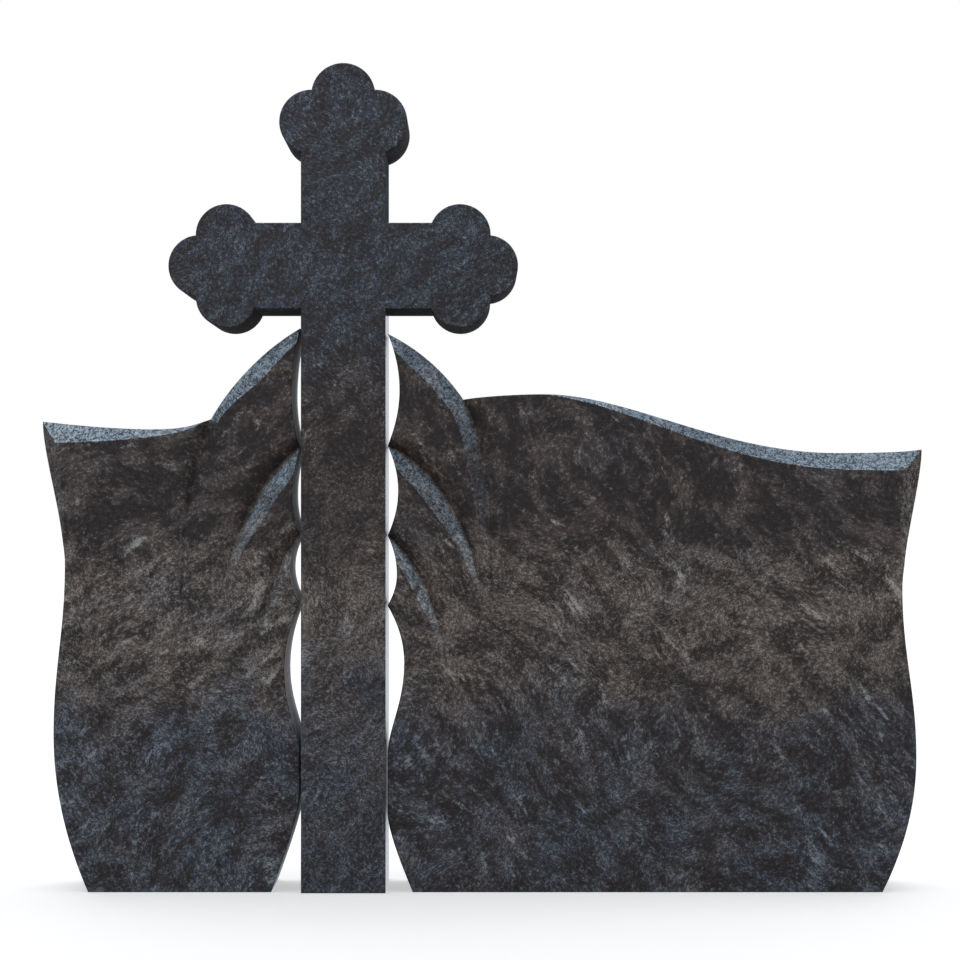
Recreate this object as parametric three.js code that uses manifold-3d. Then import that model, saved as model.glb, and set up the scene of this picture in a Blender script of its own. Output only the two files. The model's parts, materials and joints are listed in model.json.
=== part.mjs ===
// Headstone of three polished granite stones that stand in one line: a tall cross with trefoil ends,
// and a carved wing on either side of its shaft. Each wing is one stone, with scallops along the joint,
// a fan of three folds cut into its front, a wavy outer side and a chamfer that runs out.
// Millimetres, +Z up, the front faces -Y, the origin on the ground at the middle of the whole width.

import * as THREE from "three";
import { mergeVertices } from "three/addons/utils/BufferGeometryUtils.js";
import Module from "manifold-3d";

const wasm = await Module();
wasm.setup();

// Sizes of the cross.
const crossThickness = 140;
const shaftWidth = 127;
const armWidth = 129;
const armReach = 262; // from the shaft's axis to the end of a side arm
const headReach = 304; // from the arms' axis to the top of the head
const armLobes = { radius: 46, spread: 46.5, setback: 41 };
const headLobes = { radius: 48, spread: 48, setback: 40 };

// Clearances between the stones.
const jointGap = 2.5; // from the shaft to the points of the scallops
const headroom = 28; // from the taller wing's point to the underside of the arms

// Sizes of the wings. Widths run outwards from the joint, heights run up from the ground.
// A scallop's crown is where it is deepest, as a share of its span from its lower end.
// A fold starts on a point of the joint, or on the shoulder, and sweeps out and down by its run. Its
// handles shape that sweep: launch is measured from the start, and settle from the end.
const wingThickness = 120;

const leftWing = {
  reach: 390, // the horn, the farthest point of the top edge
  hornHeight: 708,
  waist: { inset: 37, height: 493 },
  belly: { inset: 20, height: 237 },
  foot: { inset: 72, setback: 43 }, // short of the horn outside, and of the joint inside
  neck: { low: 151, high: 205 }, // the straight stretch of the joint
  scallops: {
    lowest: { span: 230, depth: 23, crown: 0.55 },
    second: { span: 103, depth: 15, crown: 0.5 },
    third: { span: 131, depth: 11, crown: 0.45 },
    highest: { span: 179, depth: 12, crown: 0.44 },
  },
  shoulder: { width: 134, height: 711 }, // where the fan's arch meets the top edge
  archRise: 13,
  archEndShare: 0.45, // of the outer bevel, where the arch reaches the shoulder
  topEdge: { width: 220, height: 696, leave: 30, fall: 12, arrive: 35, tip: 105 },
  folds: {
    outer: {
      run: { out: 42, down: 346 }, launch: { out: 28, down: 52 }, settle: { out: 10, up: 158 },
    },
    middle: {
      run: { out: 128, down: 290 }, launch: { out: 44, down: 22 }, settle: { out: -12, up: 165 },
    },
    inner: {
      run: { out: 74, down: 234 }, launch: { out: 24, down: 24 }, settle: { out: -12, up: 135 },
    },
  },
  chamfer: { top: 34, side: 21, growth: 1 },
};

const rightWing = {
  reach: 807,
  hornHeight: 666,
  waist: { inset: 33, height: 457 },
  belly: { inset: 12, height: 202 },
  foot: { inset: 63, setback: 38 },
  neck: { low: 120, high: 205 },
  scallops: {
    lowest: { span: 226, depth: 25, crown: 0.62 },
    second: { span: 105, depth: 14, crown: 0.45 },
    third: { span: 135, depth: 16, crown: 0.5 },
    highest: { span: 169, depth: 18, crown: 0.5 },
  },
  shoulder: { width: 114, height: 741 },
  archRise: 10,
  archEndShare: 1,
  crest: { width: 236, height: 748.5, arrive: 60 }, // the highest point of the long top edge
  topEdge: { width: 678, height: 660.5, leave: 128, fall: 0, arrive: 177, tip: 30 },
  folds: {
    outer: {
      run: { out: 38, down: 391 }, launch: { out: 38, down: 60 }, settle: { out: 10, up: 210 },
    },
    middle: {
      run: { out: 144, down: 291 }, launch: { out: 63, down: 21 }, settle: { out: 3, up: 165 },
    },
    inner: {
      run: { out: 93, down: 246 }, launch: { out: 41, down: 30 }, settle: { out: -6, up: 135 },
    },
  },
  chamfer: { top: 30, side: 28, growth: 0.7 },
};

// Section of a fold: the bevel rises from the valley to the crest, inside the fold's line. Outside the
// line the next face bends down to the valley in a hollow ramp.
const foldSections = {
  outer: { bevel: 26, depth: 16, ramp: 30 },
  middle: { bevel: 30, depth: 18, ramp: 34 },
  inner: { bevel: 20, depth: 13, ramp: 28 },
};
const foldStartShare = 0.65; // of the full section, at the joint
const foldFullAt = 0.25; // share of the sweep where the section is full
const foldFadeAt = 0.42; // share of the sweep where it starts to run out
const archFullAt = 0.5; // share of the arch, from its tip, where its bevel is full

const chamferDepth = 24; // at the horn
const sideChamferRun = 0.85; // share of the horn-to-waist edge that the side chamfer takes
const sideChamferHold = 2.5; // a higher power keeps it wide for longer
const flareHandle = 0.75; // of the neck's height, for the curve down to the inner foot
const sideHandles = { horn: 0.25, bend: 0.4, foot: 0.5 }; // of the height of each outer stretch
const scallopHandle = 0.5; // of the half span, up to the deepest point
const neckEase = { leave: 0.3, arrive: 0.45 }; // the same, where the lowest scallop leaves the neck

// Fineness of the curves.
const lobeSides = 48;
const scallopSteps = 6;
const edgeSteps = 16;
const foldSteps = 20;
const topChamferSteps = 48;
const sideChamferSteps = 32;
const rampSteps = 4;

// A cutting body reaches this far past the stone's faces, and this far beyond a curve's ends.
const overshoot = 8;
const lead = 30;
const runOut = 0.5; // a section ends this far clear of the stone, so that its cut tapers to nothing
const leastShare = 0.02; // of a fold's section, where it has run out

const up = (u, z) => new THREE.Vector2(u, z);

// A geometry as a solid for joining and cutting, and back.
function solid(geometry) {
  const bare = geometry.index ? geometry.toNonIndexed() : geometry.clone();
  bare.deleteAttribute("normal");
  bare.deleteAttribute("uv");
  const merged = mergeVertices(bare, 1e-4);
  const vertProperties = new Float32Array(merged.attributes.position.array);
  const triVerts = new Uint32Array(merged.index.array);
  return new wasm.Manifold(new wasm.Mesh({ numProp: 3, vertProperties, triVerts }));
}

function geometryOf(body) {
  const mesh = body.getMesh();
  const geometry = new THREE.BufferGeometry();
  geometry.setAttribute("position", new THREE.BufferAttribute(mesh.vertProperties, 3));
  geometry.setIndex(new THREE.BufferAttribute(mesh.triVerts, 1));
  const faceted = geometry.toNonIndexed();
  faceted.computeVertexNormals();
  return faceted;
}

// A slab of even thickness with its outline in the XZ plane, centred on y = 0.
function slab(outline, thickness) {
  const geometry = new THREE.ExtrudeGeometry(new THREE.Shape(outline), {
    depth: thickness,
    bevelEnabled: false,
  });
  geometry.rotateX(Math.PI / 2);
  geometry.translate(0, thickness / 2, 0);
  return solid(geometry);
}

// The trefoil cross: a shaft, the arms, and three lobes on each of the three ends.
function makeCross(armAxis) {
  const lobe = (x, z, radius) => {
    const disc = new THREE.CylinderGeometry(radius, radius, crossThickness, lobeSides);
    disc.translate(x, 0, z);
    return solid(disc);
  };
  const bar = (x0, x1, z0, z1) => {
    const box = new THREE.BoxGeometry(x1 - x0, crossThickness, z1 - z0);
    box.translate((x0 + x1) / 2, 0, (z0 + z1) / 2);
    return solid(box);
  };
  // Each end runs out from the crossing along its own axis: [along x, along z].
  const ends = [
    { axis: [-1, 0], reach: armReach, lobes: armLobes },
    { axis: [1, 0], reach: armReach, lobes: armLobes },
    { axis: [0, 1], reach: headReach, lobes: headLobes },
  ];
  const armEnd = armReach - armLobes.radius;
  const headEnd = armAxis + headReach - headLobes.radius;
  let body = bar(-shaftWidth / 2, shaftWidth / 2, 0, headEnd - headLobes.setback);
  const armRoot = armEnd - armLobes.setback;
  body = body.add(bar(-armRoot, armRoot, armAxis - armWidth / 2, armAxis + armWidth / 2));
  for (const { axis, reach, lobes } of ends) {
    const [ax, az] = axis;
    const tip = reach - lobes.radius;
    const root = tip - lobes.setback;
    body = body.add(lobe(ax * tip, armAxis + az * tip, lobes.radius));
    for (const s of [-1, 1]) {
      const x = ax * root + az * s * lobes.spread;
      const z = armAxis + az * root + ax * s * lobes.spread;
      body = body.add(lobe(x, z, lobes.radius));
    }
  }
  return body;
}

// The joint's points, from the neck up to the tip of the fan.
function jointPoints(wing) {
  const heights = [wing.neck.high];
  for (const scallop of Object.values(wing.scallops)) heights.push(heights.at(-1) + scallop.span);
  return heights;
}

// A shallow arc from a to b that rises by the given amount on its left-hand side.
function bow(a, b, rise) {
  const along = b.clone().sub(a).normalize();
  const middle = a.clone().add(b).multiplyScalar(0.5);
  const handle = middle.add(up(-along.y, along.x).multiplyScalar(2 * rise));
  return new THREE.QuadraticBezierCurve(a, handle, b);
}

// The curves around a wing, clockwise from the tip of the fan: arch, top edge, outer side, then the
// foot, the neck and the scallops back up the joint.
function wingCurves(wing) {
  const { reach, hornHeight, waist, belly, foot, neck, shoulder, crest, topEdge } = wing;
  const heights = jointPoints(wing);
  const tip = up(0, heights.at(-1));
  const shoulderPoint = up(shoulder.width, shoulder.height);
  const horn = up(reach, hornHeight);
  const hollow = up(topEdge.width, topEdge.height);
  const waistPoint = up(reach - waist.inset, waist.height);
  const bellyPoint = up(reach - belly.inset, belly.height);
  const footPoint = up(reach - foot.inset, 0);

  const arch = bow(tip, shoulderPoint, wing.archRise);
  // The top edge may rise to a crest first. Its chamfer starts after that.
  const rise = [];
  let from = shoulderPoint;
  if (crest) {
    const crestPoint = up(crest.width, crest.height);
    const handle = up(crest.width - crest.arrive, crest.height);
    rise.push(new THREE.QuadraticBezierCurve(from, handle, crestPoint));
    from = crestPoint;
  }
  const leave = up(from.x + topEdge.leave, from.y - topEdge.fall);
  const arrive = up(hollow.x - topEdge.arrive, hollow.y);
  const chamferedTop = new THREE.CurvePath();
  chamferedTop.add(new THREE.CubicBezierCurve(from, leave, arrive, hollow));
  const hornHandle = up(horn.x - topEdge.tip, hollow.y);
  chamferedTop.add(new THREE.QuadraticBezierCurve(hollow, hornHandle, horn));
  const top = [...rise, ...chamferedTop.curves];

  const hornBend = (horn.y - waistPoint.y) * sideHandles.horn;
  const upperSide = new THREE.CubicBezierCurve(
    horn, up(horn.x, horn.y - hornBend),
    up(waistPoint.x, waistPoint.y + hornBend), waistPoint,
  );
  const bend = (waistPoint.y - bellyPoint.y) * sideHandles.bend;
  const middleSide = new THREE.CubicBezierCurve(
    waistPoint, up(waistPoint.x, waistPoint.y - bend),
    up(bellyPoint.x, bellyPoint.y + bend), bellyPoint,
  );
  const lowerSide = new THREE.QuadraticBezierCurve(
    bellyPoint, up(bellyPoint.x, bellyPoint.y * sideHandles.foot), footPoint,
  );
  const flare = new THREE.QuadraticBezierCurve(
    up(foot.setback, 0), up(0, neck.low * flareHandle), up(0, neck.low),
  );
  const scallops = Object.values(wing.scallops).flatMap((scallop, i) => {
    const low = up(0, heights[i]);
    const high = up(0, heights[i + 1]);
    const lowerSpan = scallop.span * scallop.crown;
    const upperSpan = scallop.span - lowerSpan;
    const deepest = up(scallop.depth, low.y + lowerSpan);
    const below = up(deepest.x, deepest.y - lowerSpan * scallopHandle);
    const above = up(deepest.x, deepest.y + upperSpan * scallopHandle);
    const eased = new THREE.CubicBezierCurve(
      low, up(0, low.y + lowerSpan * neckEase.leave),
      up(deepest.x, deepest.y - lowerSpan * neckEase.arrive), deepest,
    );
    return [
      i === 0 ? eased : new THREE.QuadraticBezierCurve(low, below, deepest),
      new THREE.QuadraticBezierCurve(deepest, above, high),
    ];
  });
  return { arch, top, chamferedTop, upperSide, middleSide, lowerSide, flare, scallops, heights };
}

function wingOutline(curves) {
  const { arch, top, upperSide, middleSide, lowerSide, flare, scallops } = curves;
  const points = [];
  const follow = (curve, steps) => points.push(...curve.getPoints(steps).slice(0, -1));
  follow(arch, edgeSteps);
  for (const stretch of [...top, upperSide, middleSide, lowerSide]) follow(stretch, edgeSteps);
  points.push(lowerSide.v2); // the outer foot, where the flat underside starts
  follow(flare, scallopSteps);
  points.push(flare.v2);
  for (const half of scallops) follow(half, scallopSteps);
  return points;
}

// A cutting body along a curve. section(t) gives its corners as [outwards from the curve, inwards from
// the front face], from the inner side through the deepest corner to the outer side.
function cutter(curve, steps, section, leadIn, leadOut) {
  const rings = [];
  const ring = (t, along) => {
    const tangent = curve.getTangent(t);
    const point = curve.getPoint(t).addScaledVector(tangent, along);
    return section(t).map(([out, depth]) => [
      point.x - tangent.y * out,
      -wingThickness / 2 + depth,
      point.y + tangent.x * out,
    ]);
  };
  if (leadIn > 0) rings.push(ring(0, -leadIn));
  for (let i = 0; i <= steps; i++) rings.push(ring(i / steps, 0));
  if (leadOut > 0) rings.push(ring(1, leadOut));
  const corners = rings[0].length;
  const indices = [];
  for (let i = 0; i + 1 < rings.length; i++) {
    for (let k = 0; k < corners; k++) {
      const a = i * corners + k;
      const b = i * corners + ((k + 1) % corners);
      indices.push(a, b, b + corners, a, b + corners, a + corners);
    }
  }
  const last = (rings.length - 1) * corners;
  const flat = section(0).map(([out, depth]) => new THREE.Vector2(out, -depth));
  for (const [a, b, c] of THREE.ShapeUtils.triangulateShape(flat, [])) {
    indices.push(c, b, a, last + a, last + b, last + c);
  }
  const geometry = new THREE.BufferGeometry();
  geometry.setAttribute("position", new THREE.Float32BufferAttribute(rings.flat(2), 3));
  geometry.setIndex(indices);
  return solid(geometry);
}

// Section of a chamfer of the given width and depth, with its inner edge on the front face.
function chamferSection(width, depth, slope) {
  return [
    [-width - overshoot / slope, -overshoot],
    [overshoot, depth + overshoot * slope],
    [overshoot, -overshoot],
  ];
}

// Section of a fold's groove: crest side, valley, then the hollow ramp up to the next face.
function foldSection(size, share) {
  const crest = size.bevel * (share + (overshoot - runOut) / size.depth);
  const corners = [[-crest, -overshoot]];
  for (let i = 0; i <= rampSteps; i++) {
    const out = i / rampSteps;
    corners.push([size.ramp * share * out, size.depth * share * (1 - out) ** 2 - runOut]);
  }
  corners.push([size.ramp * share, -overshoot]);
  return corners;
}

const smooth = (t) => {
  const s = Math.min(1, Math.max(0, t));
  return s * s * (3 - 2 * s);
};

// How much of its full section a fold has at share t of its sweep.
function foldShare(t, startShare) {
  const rise = startShare + (1 - startShare) * smooth(t / foldFullAt);
  return rise * (1 - smooth((t - foldFadeAt) / (1 - foldFadeAt)));
}

// How much of the outer bevel the arch has at share t, from its tip to the shoulder.
function archShare(t, endShare) {
  const rise = foldStartShare + (1 - foldStartShare) * smooth(t / archFullAt);
  return rise * (1 - (1 - endShare) * smooth((t - archFullAt) / (1 - archFullAt)));
}

function makeWing(wing) {
  const curves = wingCurves(wing);
  const { arch, chamferedTop, upperSide, heights } = curves;
  let body = slab(wingOutline(curves), wingThickness);

  // The arch is the outer fold's bevel, on the edge of the stone.
  const outer = foldSections.outer;
  const archSection = (t) => {
    const share = archShare(t, wing.archEndShare);
    return chamferSection(outer.bevel * share, outer.depth * share, outer.depth / outer.bevel);
  };
  body = body.subtract(cutter(arch, edgeSteps, archSection, lead, 0));

  // The outer fold goes on from the shoulder, and the others start on the joint's upper points.
  const starts = {
    outer: up(wing.shoulder.width, wing.shoulder.height),
    middle: up(0, heights.at(-2)),
    inner: up(0, heights.at(-3)),
  };
  for (const [name, { run, launch, settle }] of Object.entries(wing.folds)) {
    const start = starts[name];
    const end = up(start.x + run.out, start.y - run.down);
    const sweep = new THREE.CubicBezierCurve(
      start, up(start.x + launch.out, start.y - launch.down),
      up(end.x + settle.out, end.y + settle.up), end,
    );
    const startShare = name === "outer" ? wing.archEndShare : foldStartShare;
    const section = (t) => {
      const share = Math.max(leastShare, foldShare(t, startShare));
      return foldSection(foldSections[name], share);
    };
    body = body.subtract(cutter(sweep, foldSteps, section, lead, 0));
  }

  // The chamfer is widest at the horn, where its two runs meet in a mitre.
  const chamfer = (curve, steps, full, share, leadIn, leadOut) => {
    const slope = chamferDepth / full;
    const section = (t) => {
      const width = full * share(t) - runOut;
      return chamferSection(width, width * slope, slope);
    };
    body = body.subtract(cutter(curve, steps, section, leadIn, leadOut));
  };
  const growing = (t) => t ** wing.chamfer.growth;
  chamfer(chamferedTop, topChamferSteps, wing.chamfer.top, growing, 0, lead);
  const narrowing = (t) => 1 - Math.min(1, t / sideChamferRun) ** sideChamferHold;
  chamfer(upperSide, sideChamferSteps, wing.chamfer.side, narrowing, lead, 0);
  return body;
}

// The stones in their places.
const tipHeight = Math.max(jointPoints(leftWing).at(-1), jointPoints(rightWing).at(-1));
const armAxis = tipHeight + headroom + armWidth / 2;
const joint = shaftWidth / 2 + jointGap;
const shaftAxis = (leftWing.reach - rightWing.reach) / 2;

const headstone = new THREE.Group();

function addStone(name, body, x, side, colour) {
  const finish = { color: colour, roughness: 0.25, metalness: 0 };
  const mesh = new THREE.Mesh(geometryOf(body), new THREE.MeshStandardMaterial(finish));
  mesh.name = name;
  mesh.position.x = x;
  mesh.scale.x = side;
  headstone.add(mesh);
}

addStone("cross", makeCross(armAxis), shaftAxis, 1, 0x3b3f47);
addStone("left_wing", makeWing(leftWing), shaftAxis - joint, -1, 0x474240);
addStone("right_wing", makeWing(rightWing), shaftAxis + joint, 1, 0x44403e);

export default headstone;
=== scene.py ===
import json
import math

import bmesh
import bpy
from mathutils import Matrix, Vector

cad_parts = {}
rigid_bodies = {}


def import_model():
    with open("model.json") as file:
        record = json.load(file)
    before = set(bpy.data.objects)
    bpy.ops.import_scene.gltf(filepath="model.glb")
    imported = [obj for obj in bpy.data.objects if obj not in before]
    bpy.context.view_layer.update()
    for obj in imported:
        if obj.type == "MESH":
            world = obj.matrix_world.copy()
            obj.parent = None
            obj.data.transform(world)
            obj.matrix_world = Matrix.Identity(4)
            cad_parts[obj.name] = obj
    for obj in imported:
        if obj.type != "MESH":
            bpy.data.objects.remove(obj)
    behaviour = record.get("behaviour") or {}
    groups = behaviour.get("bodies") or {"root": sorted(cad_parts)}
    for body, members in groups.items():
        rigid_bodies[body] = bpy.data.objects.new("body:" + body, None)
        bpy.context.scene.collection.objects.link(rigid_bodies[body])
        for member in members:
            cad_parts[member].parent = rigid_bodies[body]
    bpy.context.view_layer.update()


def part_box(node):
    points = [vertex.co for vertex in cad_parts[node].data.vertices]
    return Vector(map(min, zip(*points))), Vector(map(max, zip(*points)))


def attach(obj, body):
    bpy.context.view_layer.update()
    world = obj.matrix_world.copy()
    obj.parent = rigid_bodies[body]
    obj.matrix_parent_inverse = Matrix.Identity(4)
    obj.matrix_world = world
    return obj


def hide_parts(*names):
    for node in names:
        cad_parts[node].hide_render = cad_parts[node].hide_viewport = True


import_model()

# The cross: one stone of dark granite that stands on the foot of its plain shaft. The arms and the head
# end in trefoils, drilled and ground to shape. The faces and the shaft are polished, the edges round the
# arms and the head are honed, and the arrises are broken with a stone.
cross_low, cross_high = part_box("cross")
shaft_axis = (cross_low.x + cross_high.x) / 2
shaft_width = 0.127
arm_width = 0.129
arm_reach = (cross_high.x - cross_low.x) / 2
head_reach = 0.304
arm_axis = cross_high.z - head_reach
arm_lobes = {"radius": 0.046, "spread": 0.0465, "setback": 0.041}
head_lobes = {"radius": 0.048, "spread": 0.048, "setback": 0.040}
arris = 0.0013
arc_step = math.radians(4)
crease = math.radians(20)  # an edge sharper than this stays crisp
same_place = 1e-6  # points closer than this are one


def arc(centre, radius, start, end):
    """Points along a round edge, with both its ends."""
    count = max(2, round(abs(end - start) / arc_step))
    angles = [start + (end - start) * i / count for i in range(count + 1)]
    x, y = centre
    return [(x + radius * math.cos(a), y + radius * math.sin(a)) for a in angles]


def trefoil(reach, half_width, radius, spread, setback):
    """The end of an arm, from its one edge round three lobes to its other edge: (along, across)."""
    tip = reach - radius
    root = tip - setback
    rise = half_width - spread
    leave = math.atan2(rise, -math.sqrt(radius ** 2 - rise ** 2))
    apart = math.hypot(setback, spread)
    out = math.sqrt(radius ** 2 - apart ** 2 / 4) / apart
    notch = (root + setback / 2 + out * spread, spread / 2 + out * setback)
    side_lobe = arc((root, spread), radius, leave, math.atan2(notch[1] - spread, notch[0] - root))
    end_lobe = arc((tip, 0), radius, math.atan2(notch[1], notch[0] - tip), 0)
    half = side_lobe + end_lobe[1:]
    return half + [(x, -y) for x, y in reversed(half[:-1])]


def slab(outline, front, back):
    """A stone of even thickness with its front and back arrises broken."""
    bm = bmesh.new()
    face = bm.faces.new([bm.verts.new((x, front, z)) for x, z in outline])
    pulled = bmesh.ops.extrude_face_region(bm, geom=[face])
    moved = [part for part in pulled["geom"] if isinstance(part, bmesh.types.BMVert)]
    bmesh.ops.translate(bm, verts=moved, vec=(0, back - front, 0))
    bmesh.ops.recalc_face_normals(bm, faces=bm.faces)
    rims = [e for e in bm.edges if abs(e.verts[0].co.y - e.verts[1].co.y) < same_place]
    bmesh.ops.bevel(
        bm, geom=rims, offset=arris, offset_type="OFFSET", segments=1, profile=0.5,
        affect="EDGES", material=-1,
    )
    return bm


def stone(name, bm):
    """A finished piece: curved faces are smooth, and every crease stays crisp."""
    mesh = bpy.data.meshes.new(name)
    bm.to_mesh(mesh)
    bm.free()
    mesh.polygons.foreach_set("use_smooth", [True] * len(mesh.polygons))
    mesh.set_sharp_from_angle(angle=crease)
    piece = bpy.data.objects.new(name, mesh)
    bpy.context.scene.collection.objects.link(piece)
    return piece


half_shaft = shaft_width / 2
arm_low = arm_axis - arm_width / 2
arm_high = arm_axis + arm_width / 2
arm_end = trefoil(arm_reach, arm_width / 2, **arm_lobes)
head_end = trefoil(head_reach, half_shaft, **head_lobes)
cross_outline = [
    (-half_shaft, 0), (-half_shaft, arm_low),
    *[(-along, arm_axis - across) for along, across in arm_end],
    (-half_shaft, arm_high),
    *[(-across, arm_axis + along) for along, across in head_end],
    (half_shaft, arm_high),
    *[(along, arm_axis + across) for along, across in arm_end],
    (half_shaft, arm_low), (half_shaft, 0),
]
cross = stone("cross_stone", slab(
    [(shaft_axis + x, z) for x, z in cross_outline], cross_low.y, cross_high.y,
))


def new_socket(group, name, kind, out=False, value=None):
    """A named socket on a node group."""
    direction = "OUTPUT" if out else "INPUT"
    socket = group.interface.new_socket(name=name, in_out=direction, socket_type=kind)
    if value is not None:
        socket.default_value = value


def math_node(group, operation, a, b):
    """A Math node fed by sockets or numbers."""
    node = group.nodes.new("ShaderNodeMath")
    node.operation = operation
    for socket, value in zip(node.inputs, (a, b)):
        if isinstance(value, bpy.types.NodeSocket):
            group.links.new(value, socket)
        else:
            socket.default_value = value
    return node.outputs[0]


def mix_colour(group, factor, a, b):
    """A colour mix fed by sockets or colours."""
    node = group.nodes.new("ShaderNodeMix")
    node.data_type = "RGBA"
    for index, value in ((0, factor), (6, a), (7, b)):
        if isinstance(value, bpy.types.NodeSocket):
            group.links.new(value, node.inputs[index])
        else:
            node.inputs[index].default_value = value
    return node.outputs[2]


def noise(group, vector, scale, detail, roughness=0.55):
    """A 3D noise texture. Returns its value and its colour."""
    node = group.nodes.new("ShaderNodeTexNoise")
    node.inputs["Scale"].default_value = scale
    node.inputs["Detail"].default_value = detail
    node.inputs["Roughness"].default_value = roughness
    group.links.new(vector, node.inputs["Vector"])
    return node.outputs["Fac"], node.outputs["Color"]


def vector_node(group, operation, a, b):
    """A Vector Math node fed by sockets or vectors."""
    node = group.nodes.new("ShaderNodeVectorMath")
    node.operation = operation
    for socket, value in zip(node.inputs, (a, b)):
        if isinstance(value, bpy.types.NodeSocket):
            group.links.new(value, socket)
        else:
            socket.default_value = value
    return node.outputs["Vector"]


def span(group, value, low, high, to_low=0.0, to_high=1.0):
    """Remaps a value smoothly, held at both ends."""
    node = group.nodes.new("ShaderNodeMapRange")
    node.interpolation_type = "SMOOTHSTEP"
    group.links.new(value, node.inputs["Value"])
    for name, number in (("From Min", low), ("From Max", high), ("To Min", to_low), ("To Max", to_high)):
        node.inputs[name].default_value = number
    return node.outputs["Result"]


# The grain of the granite. Soft light feldspar mottles a dark ground, crowds into clouds, and draws out
# into thin wisps along the stone's own direction of flow (the vector's first axis).
grain = bpy.data.node_groups.new("granite_grain", "ShaderNodeTree")
stone_colours = {
    "Warm ground": (0.033, 0.0235, 0.0190, 1),
    "Cool ground": (0.0170, 0.0168, 0.0195, 1),
    "Vein": (0.0135, 0.0104, 0.0098, 1),
    "Warm fleck": (0.145, 0.122, 0.104, 1),
    "Cool fleck": (0.094, 0.105, 0.120, 1),
}
new_socket(grain, "Vector", "NodeSocketVector")
for colour_name, colour in stone_colours.items():
    new_socket(grain, colour_name, "NodeSocketColor", value=colour)
new_socket(grain, "Coolness", "NodeSocketFloat", value=0.5)
new_socket(grain, "Crowding", "NodeSocketFloat", value=0.5)
new_socket(grain, "Cloudiness", "NodeSocketFloat", value=1.0)
new_socket(grain, "Color", "NodeSocketColor", out=True)
new_socket(grain, "Roughness", "NodeSocketFloat", out=True)
new_socket(grain, "Polish", "NodeSocketFloat", out=True)
grain_in = grain.nodes.new("NodeGroupInput")
grain_out = grain.nodes.new("NodeGroupOutput")
place = grain_in.outputs["Vector"]
crowding = grain_in.outputs["Crowding"]


def blend(*terms):
    """A weighted sum of values in the grain."""
    total = math_node(grain, "MULTIPLY", *terms[0])
    for value, weight in terms[1:]:
        total = math_node(grain, "ADD", total, math_node(grain, "MULTIPLY", value, weight))
    return total


# The flow is bent a little, so that no streak runs straight.
sway_reach = 0.16
_, sway = noise(grain, place, 3.2, 2.0)
sway = vector_node(grain, "SUBTRACT", sway, (0.5, 0.5, 0.5))
sway = vector_node(grain, "MULTIPLY", sway, (sway_reach, sway_reach, sway_reach))
flow = vector_node(grain, "ADD", place, sway)

# Clouds, mottling, wisps and single crystals, each with the noise scale that gives its size.
cloudiness = grain_in.outputs["Cloudiness"]
cloud, _ = noise(grain, vector_node(grain, "MULTIPLY", flow, (0.55, 1.0, 1.0)), 34.0, 4.0, 0.6)
cloud = math_node(grain, "SUBTRACT", span(grain, cloud, 0.36, 0.64), 0.5)
cloud = math_node(grain, "ADD", math_node(grain, "MULTIPLY", cloud, cloudiness), 0.5)
mottle, _ = noise(grain, flow, 150.0, 5.0, 0.8)
streak, _ = noise(grain, vector_node(grain, "MULTIPLY", flow, (0.2, 1.0, 1.0)), 62.0, 3.0, 0.55)
patch, _ = noise(grain, place, 15.0, 2.0)
wisp = math_node(grain, "MULTIPLY", span(grain, streak, 0.55, 0.72), span(grain, patch, 0.42, 0.6))
wisp = math_node(grain, "MULTIPLY", wisp, cloudiness)
cells = grain.nodes.new("ShaderNodeTexVoronoi")
cells.inputs["Scale"].default_value = 560.0
grain.links.new(flow, cells.inputs["Vector"])
parts = grain.nodes.new("ShaderNodeSeparateColor")
grain.links.new(cells.outputs["Color"], parts.inputs["Color"])

# Where they add up the light flecks show, and where they are lacking the dark veins do.
level = blend((cloud, 0.1), (mottle, 0.85), (parts.outputs["Red"], 0.2), (wisp, 0.2), (crowding, 0.3))
fleck = math_node(grain, "POWER", span(grain, level, 0.67, 1.06), 1.3)
cast, _ = noise(grain, place, 9.0, 3.0)
cast = blend((cast, 0.7), (parts.outputs["Blue"], 0.3), (grain_in.outputs["Coolness"], 1.0))
cast = span(grain, cast, 0.75, 1.25)
ground = mix_colour(grain, cast, grain_in.outputs["Warm ground"], grain_in.outputs["Cool ground"])
depth = blend((cloud, 0.22), (mottle, 0.6), (crowding, 0.3))
ground = mix_colour(grain, span(grain, depth, 0.41, 0.67), grain_in.outputs["Vein"], ground)
fleck_colour = mix_colour(grain, cast, grain_in.outputs["Warm fleck"], grain_in.outputs["Cool fleck"])
grain.links.new(mix_colour(grain, fleck, ground, fleck_colour), grain_out.inputs["Color"])

# The flecks are a little rougher than the ground, and the polish takes unevenly.
grain.links.new(span(grain, fleck, 0.0, 1.0, 0.12, 0.2), grain_out.inputs["Roughness"])
shine = blend((mottle, 0.8), (parts.outputs["Green"], 0.2))
grain.links.new(span(grain, shine, 0.42, 0.58, 0.0, 0.78), grain_out.inputs["Polish"])


# Sawing leaves the stone pale with dust: its colours times a gain, and a lift on top.
sawn_gain = 4
sawn_lift = 0.06


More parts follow.
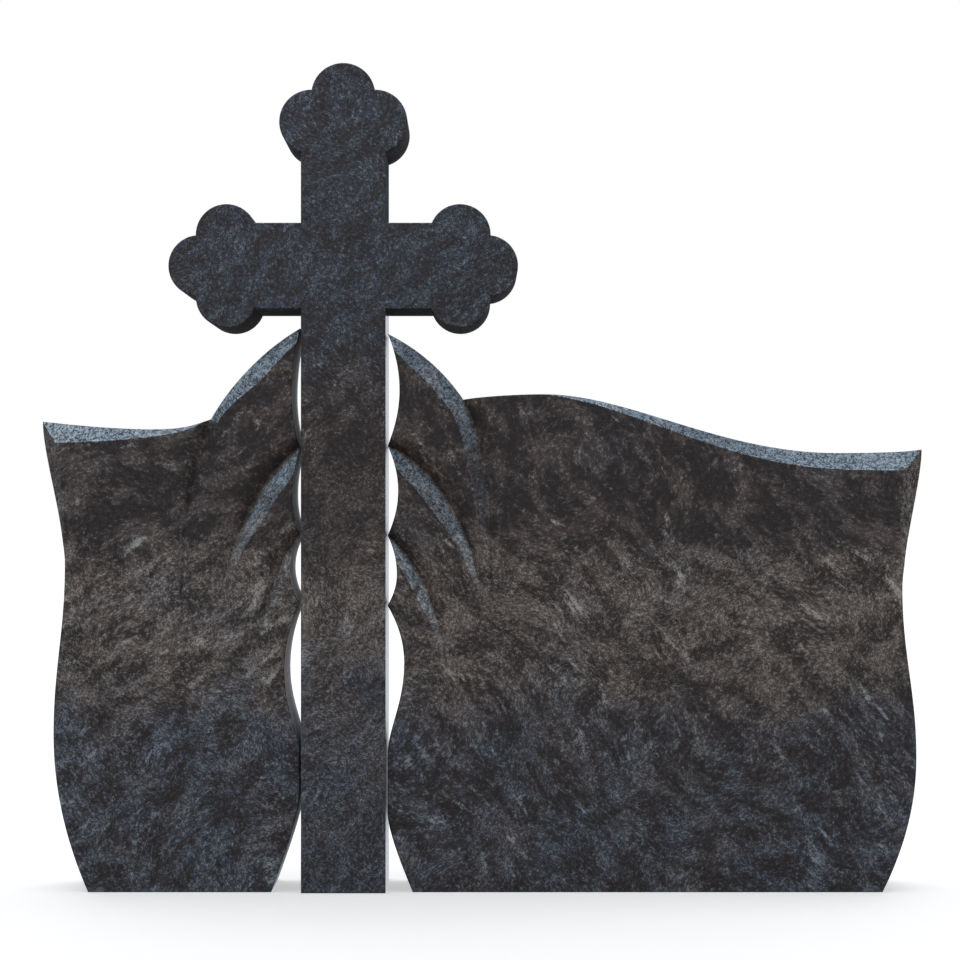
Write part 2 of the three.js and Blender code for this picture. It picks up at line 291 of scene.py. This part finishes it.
def granite(name, turn, origin, drift_and_reflection_zones, cloudiness=1.0, fineness=1.0, finish="polished"):
    """Polished, honed or sawn granite. turn is the slope of its flow in the front view, in degrees, and
    the zones (height, coolness, crowding) say how cool and how crowded the flecks are at a few heights.
    These tints by height are mostly painted reflection, the sky and the ground mirrored on the polish
    laid into the colour, and partly the stone's own drift of colour."""
    material = bpy.data.materials.new(name)
    material.use_nodes = True
    tree = material.node_tree
    shader = tree.nodes["Principled BSDF"]
    shader.inputs["IOR"].default_value = 1.5
    shader.inputs["Specular IOR Level"].default_value = 0.04
    shader.inputs["Coat IOR"].default_value = 1.5
    shader.inputs["Coat Roughness"].default_value = 0.25
    spot = tree.nodes.new("ShaderNodeTexCoord")
    mapping = tree.nodes.new("ShaderNodeMapping")
    mapping.inputs["Location"].default_value = origin
    mapping.inputs["Rotation"].default_value = (0, math.radians(turn), 0)
    mapping.inputs["Scale"].default_value = (fineness, fineness, fineness)
    tree.links.new(spot.outputs["Object"], mapping.inputs["Vector"])
    group = tree.nodes.new("ShaderNodeGroup")
    group.node_tree = grain
    group.inputs["Cloudiness"].default_value = cloudiness
    tree.links.new(mapping.outputs["Vector"], group.inputs["Vector"])
    apart = tree.nodes.new("ShaderNodeSeparateXYZ")
    tree.links.new(spot.outputs["Object"], apart.inputs["Vector"])
    # A ramp by height sets coolness and crowding. This is mostly painted reflection of sky and ground,
    # softened, and partly the stone's own drift of colour.
    ramp = tree.nodes.new("ShaderNodeValToRGB")
    ramp.color_ramp.interpolation = "EASE"
    stops = ramp.color_ramp.elements
    while len(stops) < len(drift_and_reflection_zones):
        stops.new(0.5)
    for stop, (height, cool, crowded) in zip(stops, drift_and_reflection_zones):
        stop.position = height / cross_high.z
        stop.color = (cool, crowded, 0, 1)
    tree.links.new(math_node(tree, "DIVIDE", apart.outputs["Z"], cross_high.z), ramp.inputs["Fac"])
    split = tree.nodes.new("ShaderNodeSeparateColor")
    tree.links.new(ramp.outputs["Color"], split.inputs["Color"])
    tree.links.new(split.outputs["Red"], group.inputs["Coolness"])
    tree.links.new(split.outputs["Green"], group.inputs["Crowding"])
    tree.links.new(group.outputs["Color"], shader.inputs["Base Color"])
    if finish == "polished":
        tree.links.new(group.outputs["Roughness"], shader.inputs["Roughness"])
        tree.links.new(group.outputs["Polish"], shader.inputs["Coat Weight"])
    elif finish == "honed":
        shader.inputs["Roughness"].default_value = 0.9
    else:
        shader.inputs["Roughness"].default_value = 0.45
        shader.inputs["Specular IOR Level"].default_value = 0.35
        for colour_name, colour in stone_colours.items():
            pale = [min(1, sawn_gain * part + sawn_lift) for part in colour[:3]]
            group.inputs[colour_name].default_value = pale + [1]
    return material


# Tints by height, mostly painted reflection and partly the stone's own drift: cool and crowded low, warm
# and sparse above the arms, cool again at the head.
cross_grain = (50, (0.3, 0.1, 0.2), [
    (0.0, 0.7, 0.57), (0.3, 0.55, 0.57), (0.43, 0.3, 0.68), (0.53, 0.3, 0.36), (0.66, 0.25, 0.3),
    (0.9, 0.8, 0.43), (1.1, 0.75, 0.41),
], 0.6, 1.35)
cross.data.materials.append(granite("granite_of_cross", *cross_grain))
cross.data.materials.append(granite("honed_edges_of_cross", *cross_grain, finish="honed"))
edge_on = 0.1  # a face whose normal has less depth than this stands square to the front
level_top = 0.95  # a face whose normal rises more than this lies level, and is polished
lobe_drop = 0.035  # how far under the arms the honed edges go on
for face in cross.data.polygons:
    honed = abs(face.normal.y) < edge_on and face.center.z > arm_low - lobe_drop
    if honed and face.normal.z < level_top:
        face.material_index = 1
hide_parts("cross")
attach(cross, "root")

# The left wing: one stone of the same granite, sawn to its outline. Its joint side is scalloped against
# the shaft, three folds fan out on its front from the points of the scallops, and a chamfer on the top
# and outer edges runs out from the horn. Edges are Bézier curves in (out from the joint, up).
curve_steps = 40
fold_steps = 64
ramp_steps = 9
bevel_steps = 4
bevel_swell = 0.02  # how much the middle of a fold's bevel stands proud, as a share of its depth
overshoot = 0.008  # how far a cutting body reaches past the faces
lead = 0.03  # and beyond the ends of its run
run_out = 0.0005  # how far a section ends clear of the stone, so that its cut tapers to nothing
least_share = 0.02
flare_handle = 0.75  # of the neck's height, for the curve down to the inner foot
scallop_handle = 0.5  # of the half span, up to the deepest point
neck_ease = (0.3, 0.45)  # the same, where the lowest scallop leaves the neck
side_handles = {"horn": 0.25, "bend": 0.4, "foot": 0.5}  # of the height of each outer stretch
chamfer_depth = 0.024
side_chamfer_run = 0.85  # share of the horn-to-waist edge that the side chamfer takes
side_chamfer_hold = 2.5  # a higher power keeps it wide for longer
fold_start_share = 0.65  # of the full section, at the joint
arch_full_at = 0.5  # share of the arch where its bevel is full
fold_full_at = 0.25  # share of the sweep where a fold's section is full
fold_fade_at = 0.42  # share of the sweep where it starts to run out
joint_top = 0.004  # the sawn side ends this far under the tip
fold_sections = {
    "outer": {"bevel": 0.026, "depth": 0.016, "ramp": 0.030},
    "middle": {"bevel": 0.030, "depth": 0.018, "ramp": 0.034},
    "inner": {"bevel": 0.020, "depth": 0.013, "ramp": 0.028},
}


def bezier(handles, t):
    """The point and the direction of a Bézier curve at share t of it."""
    points = [Vector(p) for p in handles]
    while len(points) > 2:
        points = [a.lerp(b, t) for a, b in zip(points, points[1:])]
    return points[0].lerp(points[1], t), (points[1] - points[0]).normalized()


def wing_edges(wing):
    """The stretches round a wing, clockwise from the tip of its fan, as Bézier handles."""
    heights = [wing["neck"][1]]
    for rise, _, _ in wing["scallops"]:
        heights.append(heights[-1] + rise)
    reach, horn_height = wing["horn"]
    tip = Vector((0, heights[-1]))
    shoulder = Vector(wing["shoulder"])
    horn = Vector((reach, horn_height))
    waist = Vector((reach - wing["waist"][0], wing["waist"][1]))
    belly = Vector((reach - wing["belly"][0], wing["belly"][1]))
    foot = Vector((reach - wing["foot"][0], 0))
    along = (shoulder - tip).normalized()
    arch = [tip, (tip + shoulder) / 2 + Vector((-along.y, along.x)) * 2 * wing["arch_rise"], shoulder]
    rise = []
    start = shoulder
    if "crest" in wing:
        width, height, arrive = wing["crest"]
        rise = [[shoulder, (width - arrive, height), (width, height)]]
        start = Vector((width, height))
    width, height, leave, fall, arrive, point = wing["top_edge"]
    top = [
        [start, (start.x + leave, start.y - fall), (width - arrive, height), (width, height)],
        [(width, height), (horn.x - point, height), horn],
    ]
    bend = (horn.y - waist.y) * side_handles["horn"]
    upper_side = [horn, (horn.x, horn.y - bend), (waist.x, waist.y + bend), waist]
    bend = (waist.y - belly.y) * side_handles["bend"]
    middle_side = [waist, (waist.x, waist.y - bend), (belly.x, belly.y + bend), belly]
    lower_side = [belly, (belly.x, belly.y * side_handles["foot"]), foot]
    low, high = wing["neck"]
    flare = [(wing["foot"][1], 0), (0, low * flare_handle), (0, low)]
    scallops = []
    for base, top_of, (rise_of, depth, crown) in zip(heights, heights[1:], wing["scallops"]):
        deepest = base + rise_of * crown
        lower, upper = deepest - base, top_of - deepest
        if not scallops:
            leave, arrive = neck_ease
            scallops.append([
                (0, base), (0, base + lower * leave), (depth, deepest - lower * arrive), (depth, deepest),
            ])
        else:
            scallops.append([(0, base), (depth, deepest - lower * scallop_handle), (depth, deepest)])
        scallops.append([(depth, deepest), (depth, deepest + upper * scallop_handle), (0, top_of)])
    return {
        "arch": arch, "rise": rise, "top": top, "upper_side": upper_side, "middle_side": middle_side,
        "lower_side": lower_side, "flare": flare, "scallops": scallops, "heights": heights,
    }


def follow(handles, steps):
    """Points along a stretch, without its last one."""
    return [tuple(bezier(handles, i / steps)[0]) for i in range(steps)]


def cutter(stretches, steps, section, place, lead_in=0.0, lead_out=0.0):
    """A closed body that cuts along a run of stretches. section(t) gives its corners as (outwards
    from the run, inwards from the front face), and place(out, depth, height) puts a corner."""
    stations = []
    travelled = 0.0
    for handles in stretches:
        points = [bezier(handles, i / steps) for i in range(steps + 1)]
        for i, (point, way) in enumerate(points):
            if i:
                travelled += (point - points[i - 1][0]).length
            elif stations:
                continue
            stations.append((point, way, travelled))
    count = len(stations) - 1
    if len(stretches) == 1:
        shares = [i / count for i in range(count + 1)]
    else:
        shares = [station[2] / travelled for station in stations]
    run = [(point, way, share) for (point, way, _), share in zip(stations, shares)]
    if lead_in:
        point, way, share = run[0]
        run.insert(0, (point - way * lead_in, way, share))
    if lead_out:
        point, way, share = run[-1]
        run.append((point + way * lead_out, way, share))
    bm = bmesh.new()
    ring = []
    for point, way, share in run:
        corners = [
            place(point.x - way.y * out, depth, point.y + way.x * out) for out, depth in section(share)
        ]
        if not ring:
            ring = [bm.verts.new(corner) for corner in corners]
            edges = [bm.edges.new(pair) for pair in zip(ring, ring[1:] + ring[:1])]
            continue
        pulled = bmesh.ops.extrude_edge_only(bm, edges=edges)
        fresh = {part for part in pulled["geom"] if isinstance(part, bmesh.types.BMVert)}
        ring = [next(e.other_vert(v) for e in v.link_edges if e.other_vert(v) in fresh) for v in ring]
        for vert, corner in zip(ring, corners):
            vert.co = corner
        edges = [bm.edges.get(pair) for pair in zip(ring, ring[1:] + ring[:1])]
    bmesh.ops.holes_fill(bm, edges=[e for e in bm.edges if e.is_boundary])
    bmesh.ops.recalc_face_normals(bm, faces=bm.faces)
    mesh = bpy.data.meshes.new("cutter")
    bm.to_mesh(mesh)
    bm.free()
    body = bpy.data.objects.new("cutter", mesh)
    bpy.context.scene.collection.objects.link(body)
    return body


def chamfer_section(width, depth, slope):
    """Corners of a chamfer's cut, with its inner edge on the front face."""
    return [
        (-width - overshoot / slope, -overshoot),
        (overshoot, depth + overshoot * slope),
        (overshoot, -overshoot),
    ]


def fold_section(name, share):
    """Corners of a fold's groove: up its swelled bevel, the valley, and up the hollow ramp."""
    size = fold_sections[name]
    bevel, depth, ramp = size["bevel"], size["depth"], size["ramp"]
    end_slope = depth * (1 - 4 * bevel_swell) / bevel
    corners = [(-bevel * share - (overshoot - run_out) / end_slope, -overshoot)]
    for i in range(bevel_steps, 0, -1):
        q = i / bevel_steps
        fall = 1 - q - 4 * bevel_swell * q * (1 - q)
        corners.append((-bevel * share * q, depth * share * fall - run_out))
    for i in range(ramp_steps + 1):
        q = i / ramp_steps
        corners.append((ramp * share * q, depth * share * (1 - q) ** 2 - run_out))
    corners.append((ramp * share, -overshoot))
    return corners


def smooth(t):
    """An eased step from 0 to 1."""
    t = min(1, max(0, t))
    return t * t * (3 - 2 * t)


def fold_share(t, start_share):
    """How much of its full section a fold has at share t of its sweep."""
    rise = start_share + (1 - start_share) * smooth(t / fold_full_at)
    return rise * (1 - smooth((t - fold_fade_at) / (1 - fold_fade_at)))


def carve_wing(name, node, wing, side, polished, sawn):
    """Saws a wing to its outline, cuts its folds and chamfers, and dresses it."""
    low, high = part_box(node)
    joint = low.x if side > 0 else high.x

    def place(out, depth, height):
        return (joint + side * out, low.y + depth, height)

    edges = wing_edges(wing)
    outline = follow(edges["arch"], curve_steps)
    for handles in edges["rise"] + edges["top"]:
        outline += follow(handles, curve_steps)
    for side_name in ("upper_side", "middle_side", "lower_side"):
        outline += follow(edges[side_name], curve_steps)
    outline.append(tuple(edges["lower_side"][-1]))
    outline += follow(edges["flare"], curve_steps // 2)
    outline.append(edges["flare"][-1])
    for handles in edges["scallops"]:
        outline += follow(handles, curve_steps // 3)
    bm = slab([(joint + side * x, z) for x, z in outline], low.y, high.y)
    piece = stone(name, bm)

    outer = fold_sections["outer"]
    slope = outer["depth"] / outer["bevel"]

    def arch_section(t):
        share = fold_start_share + (1 - fold_start_share) * smooth(t / arch_full_at)
        share *= 1 - (1 - wing["arch_end_share"]) * smooth((t - arch_full_at) / (1 - arch_full_at))
        return chamfer_section(outer["bevel"] * share, outer["depth"] * share, slope)

    cutters = [cutter([edges["arch"]], curve_steps, arch_section, place, lead_in=lead)]
    heights = edges["heights"]
    starts = {
        "outer": Vector(wing["shoulder"]),
        "middle": Vector((0, heights[-2])),
        "inner": Vector((0, heights[-3])),
    }
    for fold, (reach, drop, launch, settle) in wing["folds"].items():
        start = starts[fold]
        end = start + Vector((reach, -drop))
        sweep = [start, start + Vector((launch[0], -launch[1])), end + Vector(settle), end]
        start_share = wing["arch_end_share"] if fold == "outer" else fold_start_share

        def section(t, fold=fold, start_share=start_share):
            return fold_section(fold, max(least_share, fold_share(t, start_share)))

        cutters.append(cutter([sweep], fold_steps, section, place, lead_in=lead))
    top_width, side_width, growth = wing["chamfer"]

    def top_section(t):
        width = top_width * t ** growth - run_out
        return chamfer_section(width, width * chamfer_depth / top_width, chamfer_depth / top_width)

    def side_section(t):
        width = side_width * (1 - min(1, t / side_chamfer_run) ** side_chamfer_hold) - run_out
        return chamfer_section(width, width * chamfer_depth / side_width, chamfer_depth / side_width)

    cutters.append(cutter(edges["top"], curve_steps, top_section, place, lead_out=lead))
    cutters.append(cutter([edges["upper_side"]], curve_steps, side_section, place, lead_in=lead))
    for body in cutters:
        cut = piece.modifiers.new("cut", "BOOLEAN")
        cut.operation = "DIFFERENCE"
        cut.solver = "MANIFOLD"
        cut.object = body
    bpy.context.view_layer.update()
    depsgraph = bpy.context.evaluated_depsgraph_get()
    carved = bpy.data.meshes.new_from_object(piece.evaluated_get(depsgraph))
    for body in [*cutters, piece]:
        bpy.data.objects.remove(body)
    bm = bmesh.new()
    bm.from_mesh(carved)
    bmesh.ops.remove_doubles(bm, verts=bm.verts, dist=same_place)
    bmesh.ops.dissolve_degenerate(bm, edges=bm.edges, dist=same_place)
    bmesh.ops.recalc_face_normals(bm, faces=bm.faces)
    piece = stone(name, bm)
    even = piece.modifiers.new("even faces", "WEIGHTED_NORMAL")
    even.mode = "FACE_AREA"
    even.weight = 100
    even.keep_sharp = True
    piece.data.materials.append(polished)
    piece.data.materials.append(sawn)
    deepest = max([wing["foot"][1]] + [depth for _, depth, _ in wing["scallops"]])
    for face in piece.data.polygons:
        within = side * (face.center.x - joint) < deepest
        below_tip = face.center.z < heights[-1] - joint_top
        if within and below_tip and abs(face.normal.y) < edge_on:
            face.material_index = 1
    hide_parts(node)
    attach(piece, "root")


left_wing = {
    "horn": (0.390, 0.708),
    "waist": (0.037, 0.493),
    "belly": (0.020, 0.237),
    "foot": (0.072, 0.043),
    "neck": (0.151, 0.205),
    "scallops": [(0.230, 0.023, 0.55), (0.103, 0.015, 0.5), (0.131, 0.011, 0.45), (0.179, 0.012, 0.44)],
    "shoulder": (0.134, 0.711),
    "arch_rise": 0.013,
    "arch_end_share": 0.45,
    "top_edge": (0.220, 0.696, 0.030, 0.012, 0.035, 0.105),
    "folds": {
        "outer": (0.042, 0.346, (0.028, 0.052), (0.010, 0.158)),
        "middle": (0.128, 0.290, (0.044, 0.022), (-0.012, 0.165)),
        "inner": (0.074, 0.234, (0.024, 0.024), (-0.012, 0.135)),
    },
    "chamfer": (0.034, 0.021, 1.0),
}
# Tints by height, mostly painted reflection and partly the stone's own drift: cool low down, warm and
# crowded at mid height, sparse and dark at the top.
left_grain = (36, (0.93, 0.4, 0.17), [
    (0.0, 0.65, 0.55), (0.22, 0.62, 0.54), (0.36, 0.3, 0.61), (0.47, 0.3, 0.62), (0.57, 0.35, 0.29),
])
carve_wing(
    "left_wing_stone", "left_wing", left_wing, -1,
    granite("granite_of_left_wing", *left_grain),
    granite("sawn_joint_left", *left_grain, finish="sawn"),
)

# The right wing: one stone of the same granite, sawn and carved like the left one and twice as wide.
# Its top edge rises to a crest beside the fan and falls in a long wave to the horn, with the chamfer
# growing along it.
right_wing = {
    "horn": (0.807, 0.666),
    "waist": (0.033, 0.457),
    "belly": (0.012, 0.202),
    "foot": (0.063, 0.038),
    "neck": (0.120, 0.205),
    "scallops": [(0.226, 0.025, 0.62), (0.105, 0.014, 0.45), (0.135, 0.016, 0.5), (0.169, 0.018, 0.5)],
    "shoulder": (0.114, 0.741),
    "arch_rise": 0.010,
    "arch_end_share": 1.0,
    "crest": (0.236, 0.7485, 0.060),
    "top_edge": (0.678, 0.6605, 0.128, 0.0, 0.177, 0.030),
    "folds": {
        "outer": (0.038, 0.391, (0.038, 0.060), (0.010, 0.210)),
        "middle": (0.144, 0.291, (0.063, 0.021), (0.003, 0.165)),
        "inner": (0.093, 0.246, (0.041, 0.030), (-0.006, 0.135)),
    },
    "chamfer": (0.030, 0.028, 0.7),
}
# Tints by height, mostly painted reflection and partly the stone's own drift: cool low down, warm and
# crowded at mid height, sparse and dark at the top.
right_grain = (-48, (0.2, 0.7, 0.6), [
    (0.0, 0.65, 0.49), (0.22, 0.62, 0.47), (0.36, 0.25, 0.56), (0.48, 0.25, 0.58), (0.56, 0.35, 0.27),
])
carve_wing(
    "right_wing_stone", "right_wing", right_wing, 1,
    granite("granite_of_right_wing", *right_grain),
    granite("sawn_joint_right", *right_grain, finish="sawn"),
)

# The floor: a wide sheet of pale paper that glows a little, so that it runs out into the white room.
# The polish doesn't mirror it, because that would lay a haze over the foot of the stones.
floor_reach = 40.0
bm = bmesh.new()
bmesh.ops.create_grid(bm, x_segments=1, y_segments=1, size=floor_reach)
mesh = bpy.data.meshes.new("floor")
bm.to_mesh(mesh)
bm.free()
floor = bpy.data.objects.new("floor", mesh)
bpy.context.scene.collection.objects.link(floor)
paper = bpy.data.materials.new("pale_floor")
paper.use_nodes = True
paper_shader = paper.node_tree.nodes["Principled BSDF"]
paper_shader.inputs["Base Color"].default_value = (0.82, 0.82, 0.81, 1)
paper_shader.inputs["Roughness"].default_value = 0.9
paper_shader.inputs["Emission Color"].default_value = (1, 1, 1, 1)
paper_shader.inputs["Emission Strength"].default_value = 0.48
floor.data.materials.append(paper)
floor.visible_glossy = False

# Soft studio light. Three cool panels overhead are what the polished chamfers and folds mirror, two
# warm ones beside the camera fill the faces, and three weaker ones lift the sides. They light the stones
# alone, and the floor has a lamp of its own.
stones = bpy.data.collections.new("stones")
stage_only = bpy.data.collections.new("stage_only")
stage_only.objects.link(floor)
wings = bpy.data.collections.new("wings")
for piece in bpy.context.scene.objects:
    if piece.name.endswith("_stone"):
        stones.objects.link(piece)
    if piece.name.endswith("_wing_stone"):
        wings.objects.link(piece)


def panel(name, place, target, size, power, colour, lights):
    """A soft rectangular light aimed at a point, which lights one collection alone."""
    data = bpy.data.lights.new(name, "AREA")
    data.shape = "RECTANGLE"
    data.size, data.size_y = size
    data.energy = power
    data.color = colour
    lamp = bpy.data.objects.new(name, data)
    lamp.location = place
    lamp.rotation_euler = (Vector(target) - Vector(place)).to_track_quat("-Z", "Y").to_euler()
    bpy.context.scene.collection.objects.link(lamp)
    lamp.light_linking.receiver_collection = lights


panel("overhead", (-0.3, -1.3, 3.3), (-0.3, -1.3, 0), (3.4, 2.2), 265, (0.58, 0.79, 1.0), stones)
panel("overhead_left", (-3.6, -1.3, 3.3), (-3.6, -1.3, 0), (3.2, 2.2), 158, (0.53, 0.78, 1.0), stones)
panel("overhead_right", (3.45, -1.4, 3.3), (3.45, -1.4, 0), (4.1, 2.35), 138, (0.46, 0.74, 1.0), stones)
panel("left_side", (-5.0, -2.3, 3.3), (0, 0, 0.8), (1.8, 1.2), 18, (0.60, 0.80, 1.0), stones)
panel("right_side", (4.6, -1.8, 2.6), (0, 0, 0.8), (2.4, 1.6), 45, (0.50, 0.76, 1.0), stones)
panel("right_edge", (5.0, -0.95, 0.7), (0.6, 0, 0.6), (1.6, 1.4), 40, (1.0, 0.93, 0.86), wings)
panel("front_left", (-3.0, -4.4, 2.6), (0, 0, 0.5), (3.2, 3.2), 112, (1.0, 0.95, 0.91), stones)
panel("front_right", (3.0, -4.4, 2.6), (0, 0, 0.5), (3.2, 3.2), 112, (1.0, 0.95, 0.91), stones)
sky = bpy.data.lights.new("floor_light", "SUN")
sky.energy = 1.1
sky.angle = math.radians(40)
sky_lamp = bpy.data.objects.new("floor_light", sky)
sky_lamp.light_linking.receiver_collection = stage_only
bpy.context.scene.collection.objects.link(sky_lamp)

# The room: white behind the stones and dim in front of them, so that the polish has something to mirror
# at its edges, and plain white where the camera sees it.
world = bpy.data.worlds.new("studio")
world.use_nodes = True
room = world.node_tree
dim, bright = 0.15, 0.9
light = room.nodes["Background"]
light.inputs["Color"].default_value = (0.9, 0.93, 1.0, 1)
way = room.nodes.new("ShaderNodeTexCoord")
axes = room.nodes.new("ShaderNodeSeparateXYZ")
room.links.new(way.outputs["Generated"], axes.inputs["Vector"])
room.links.new(span(room, axes.outputs["Y"], -0.1, 0.5, dim, bright), light.inputs["Strength"])
white = room.nodes.new("ShaderNodeBackground")
white.inputs["Color"].default_value = (1, 1, 1, 1)
seen = room.nodes.new("ShaderNodeLightPath")
either = room.nodes.new("ShaderNodeMixShader")
room.links.new(seen.outputs["Is Camera Ray"], either.inputs["Fac"])
room.links.new(light.outputs["Background"], either.inputs[1])
room.links.new(white.outputs["Background"], either.inputs[2])
room.links.new(either.outputs["Shader"], room.nodes["World Output"].inputs["Surface"])
bpy.context.scene.world = world
bpy.context.scene.view_settings.view_transform = "Standard"

# The camera: level, in front of the stones and a little left of their middle.
picture_width = 960  # in pixels, like the focal length and the shifts
focal_length = 2363
shift_right, shift_up = 5, 25
sensor_width = 36
camera_distance = 3.54  # from the front of the cross
camera_data = bpy.data.cameras.new("camera")
camera_data.sensor_width = sensor_width
camera_data.lens = sensor_width * focal_length / picture_width
camera_data.shift_x = shift_right / picture_width
camera_data.shift_y = shift_up / picture_width
camera = bpy.data.objects.new("camera", camera_data)
camera.location = (-0.011, cross_low.y - camera_distance, 0.582)
camera.rotation_euler = (math.pi / 2, 0, 0)
bpy.context.scene.collection.objects.link(camera)
bpy.context.scene.camera = camera
